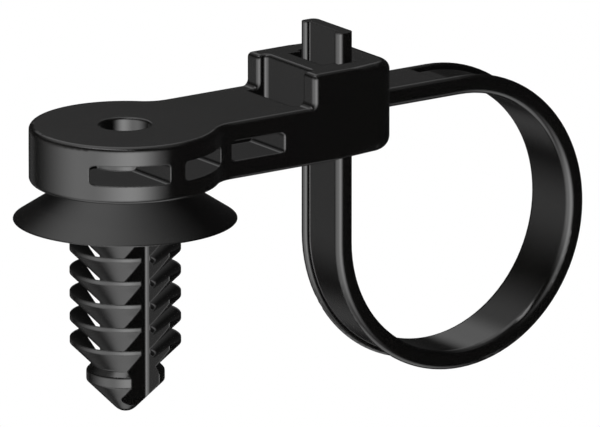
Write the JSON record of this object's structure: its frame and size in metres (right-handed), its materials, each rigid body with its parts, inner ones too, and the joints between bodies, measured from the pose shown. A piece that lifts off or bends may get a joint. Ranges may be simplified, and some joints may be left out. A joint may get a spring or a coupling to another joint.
{
  "type": "cable tie",
  "caption": "Moulded cable tie: a push-in post with flexible fins under an umbrella disc, a cored offset arm, and a box head whose strap returns through it as a round loop",
  "frame": {"origin": "on the axis of the fir tree, in the plane where the rim of its disc meets the panel", "axes": "+Z away from the panel along the fir tree's axis, +X along the arm from the boss to the head, +Y across the strap"},
  "size_m": [0.0448, 0.0154, 0.0255],
  "materials": {
    "polyamide": "black moulded polyamide with a satin sheen"
  },
  "bodies": {
    "root": {"cable_tie": "polyamide"}
  },
  "joints": []
}
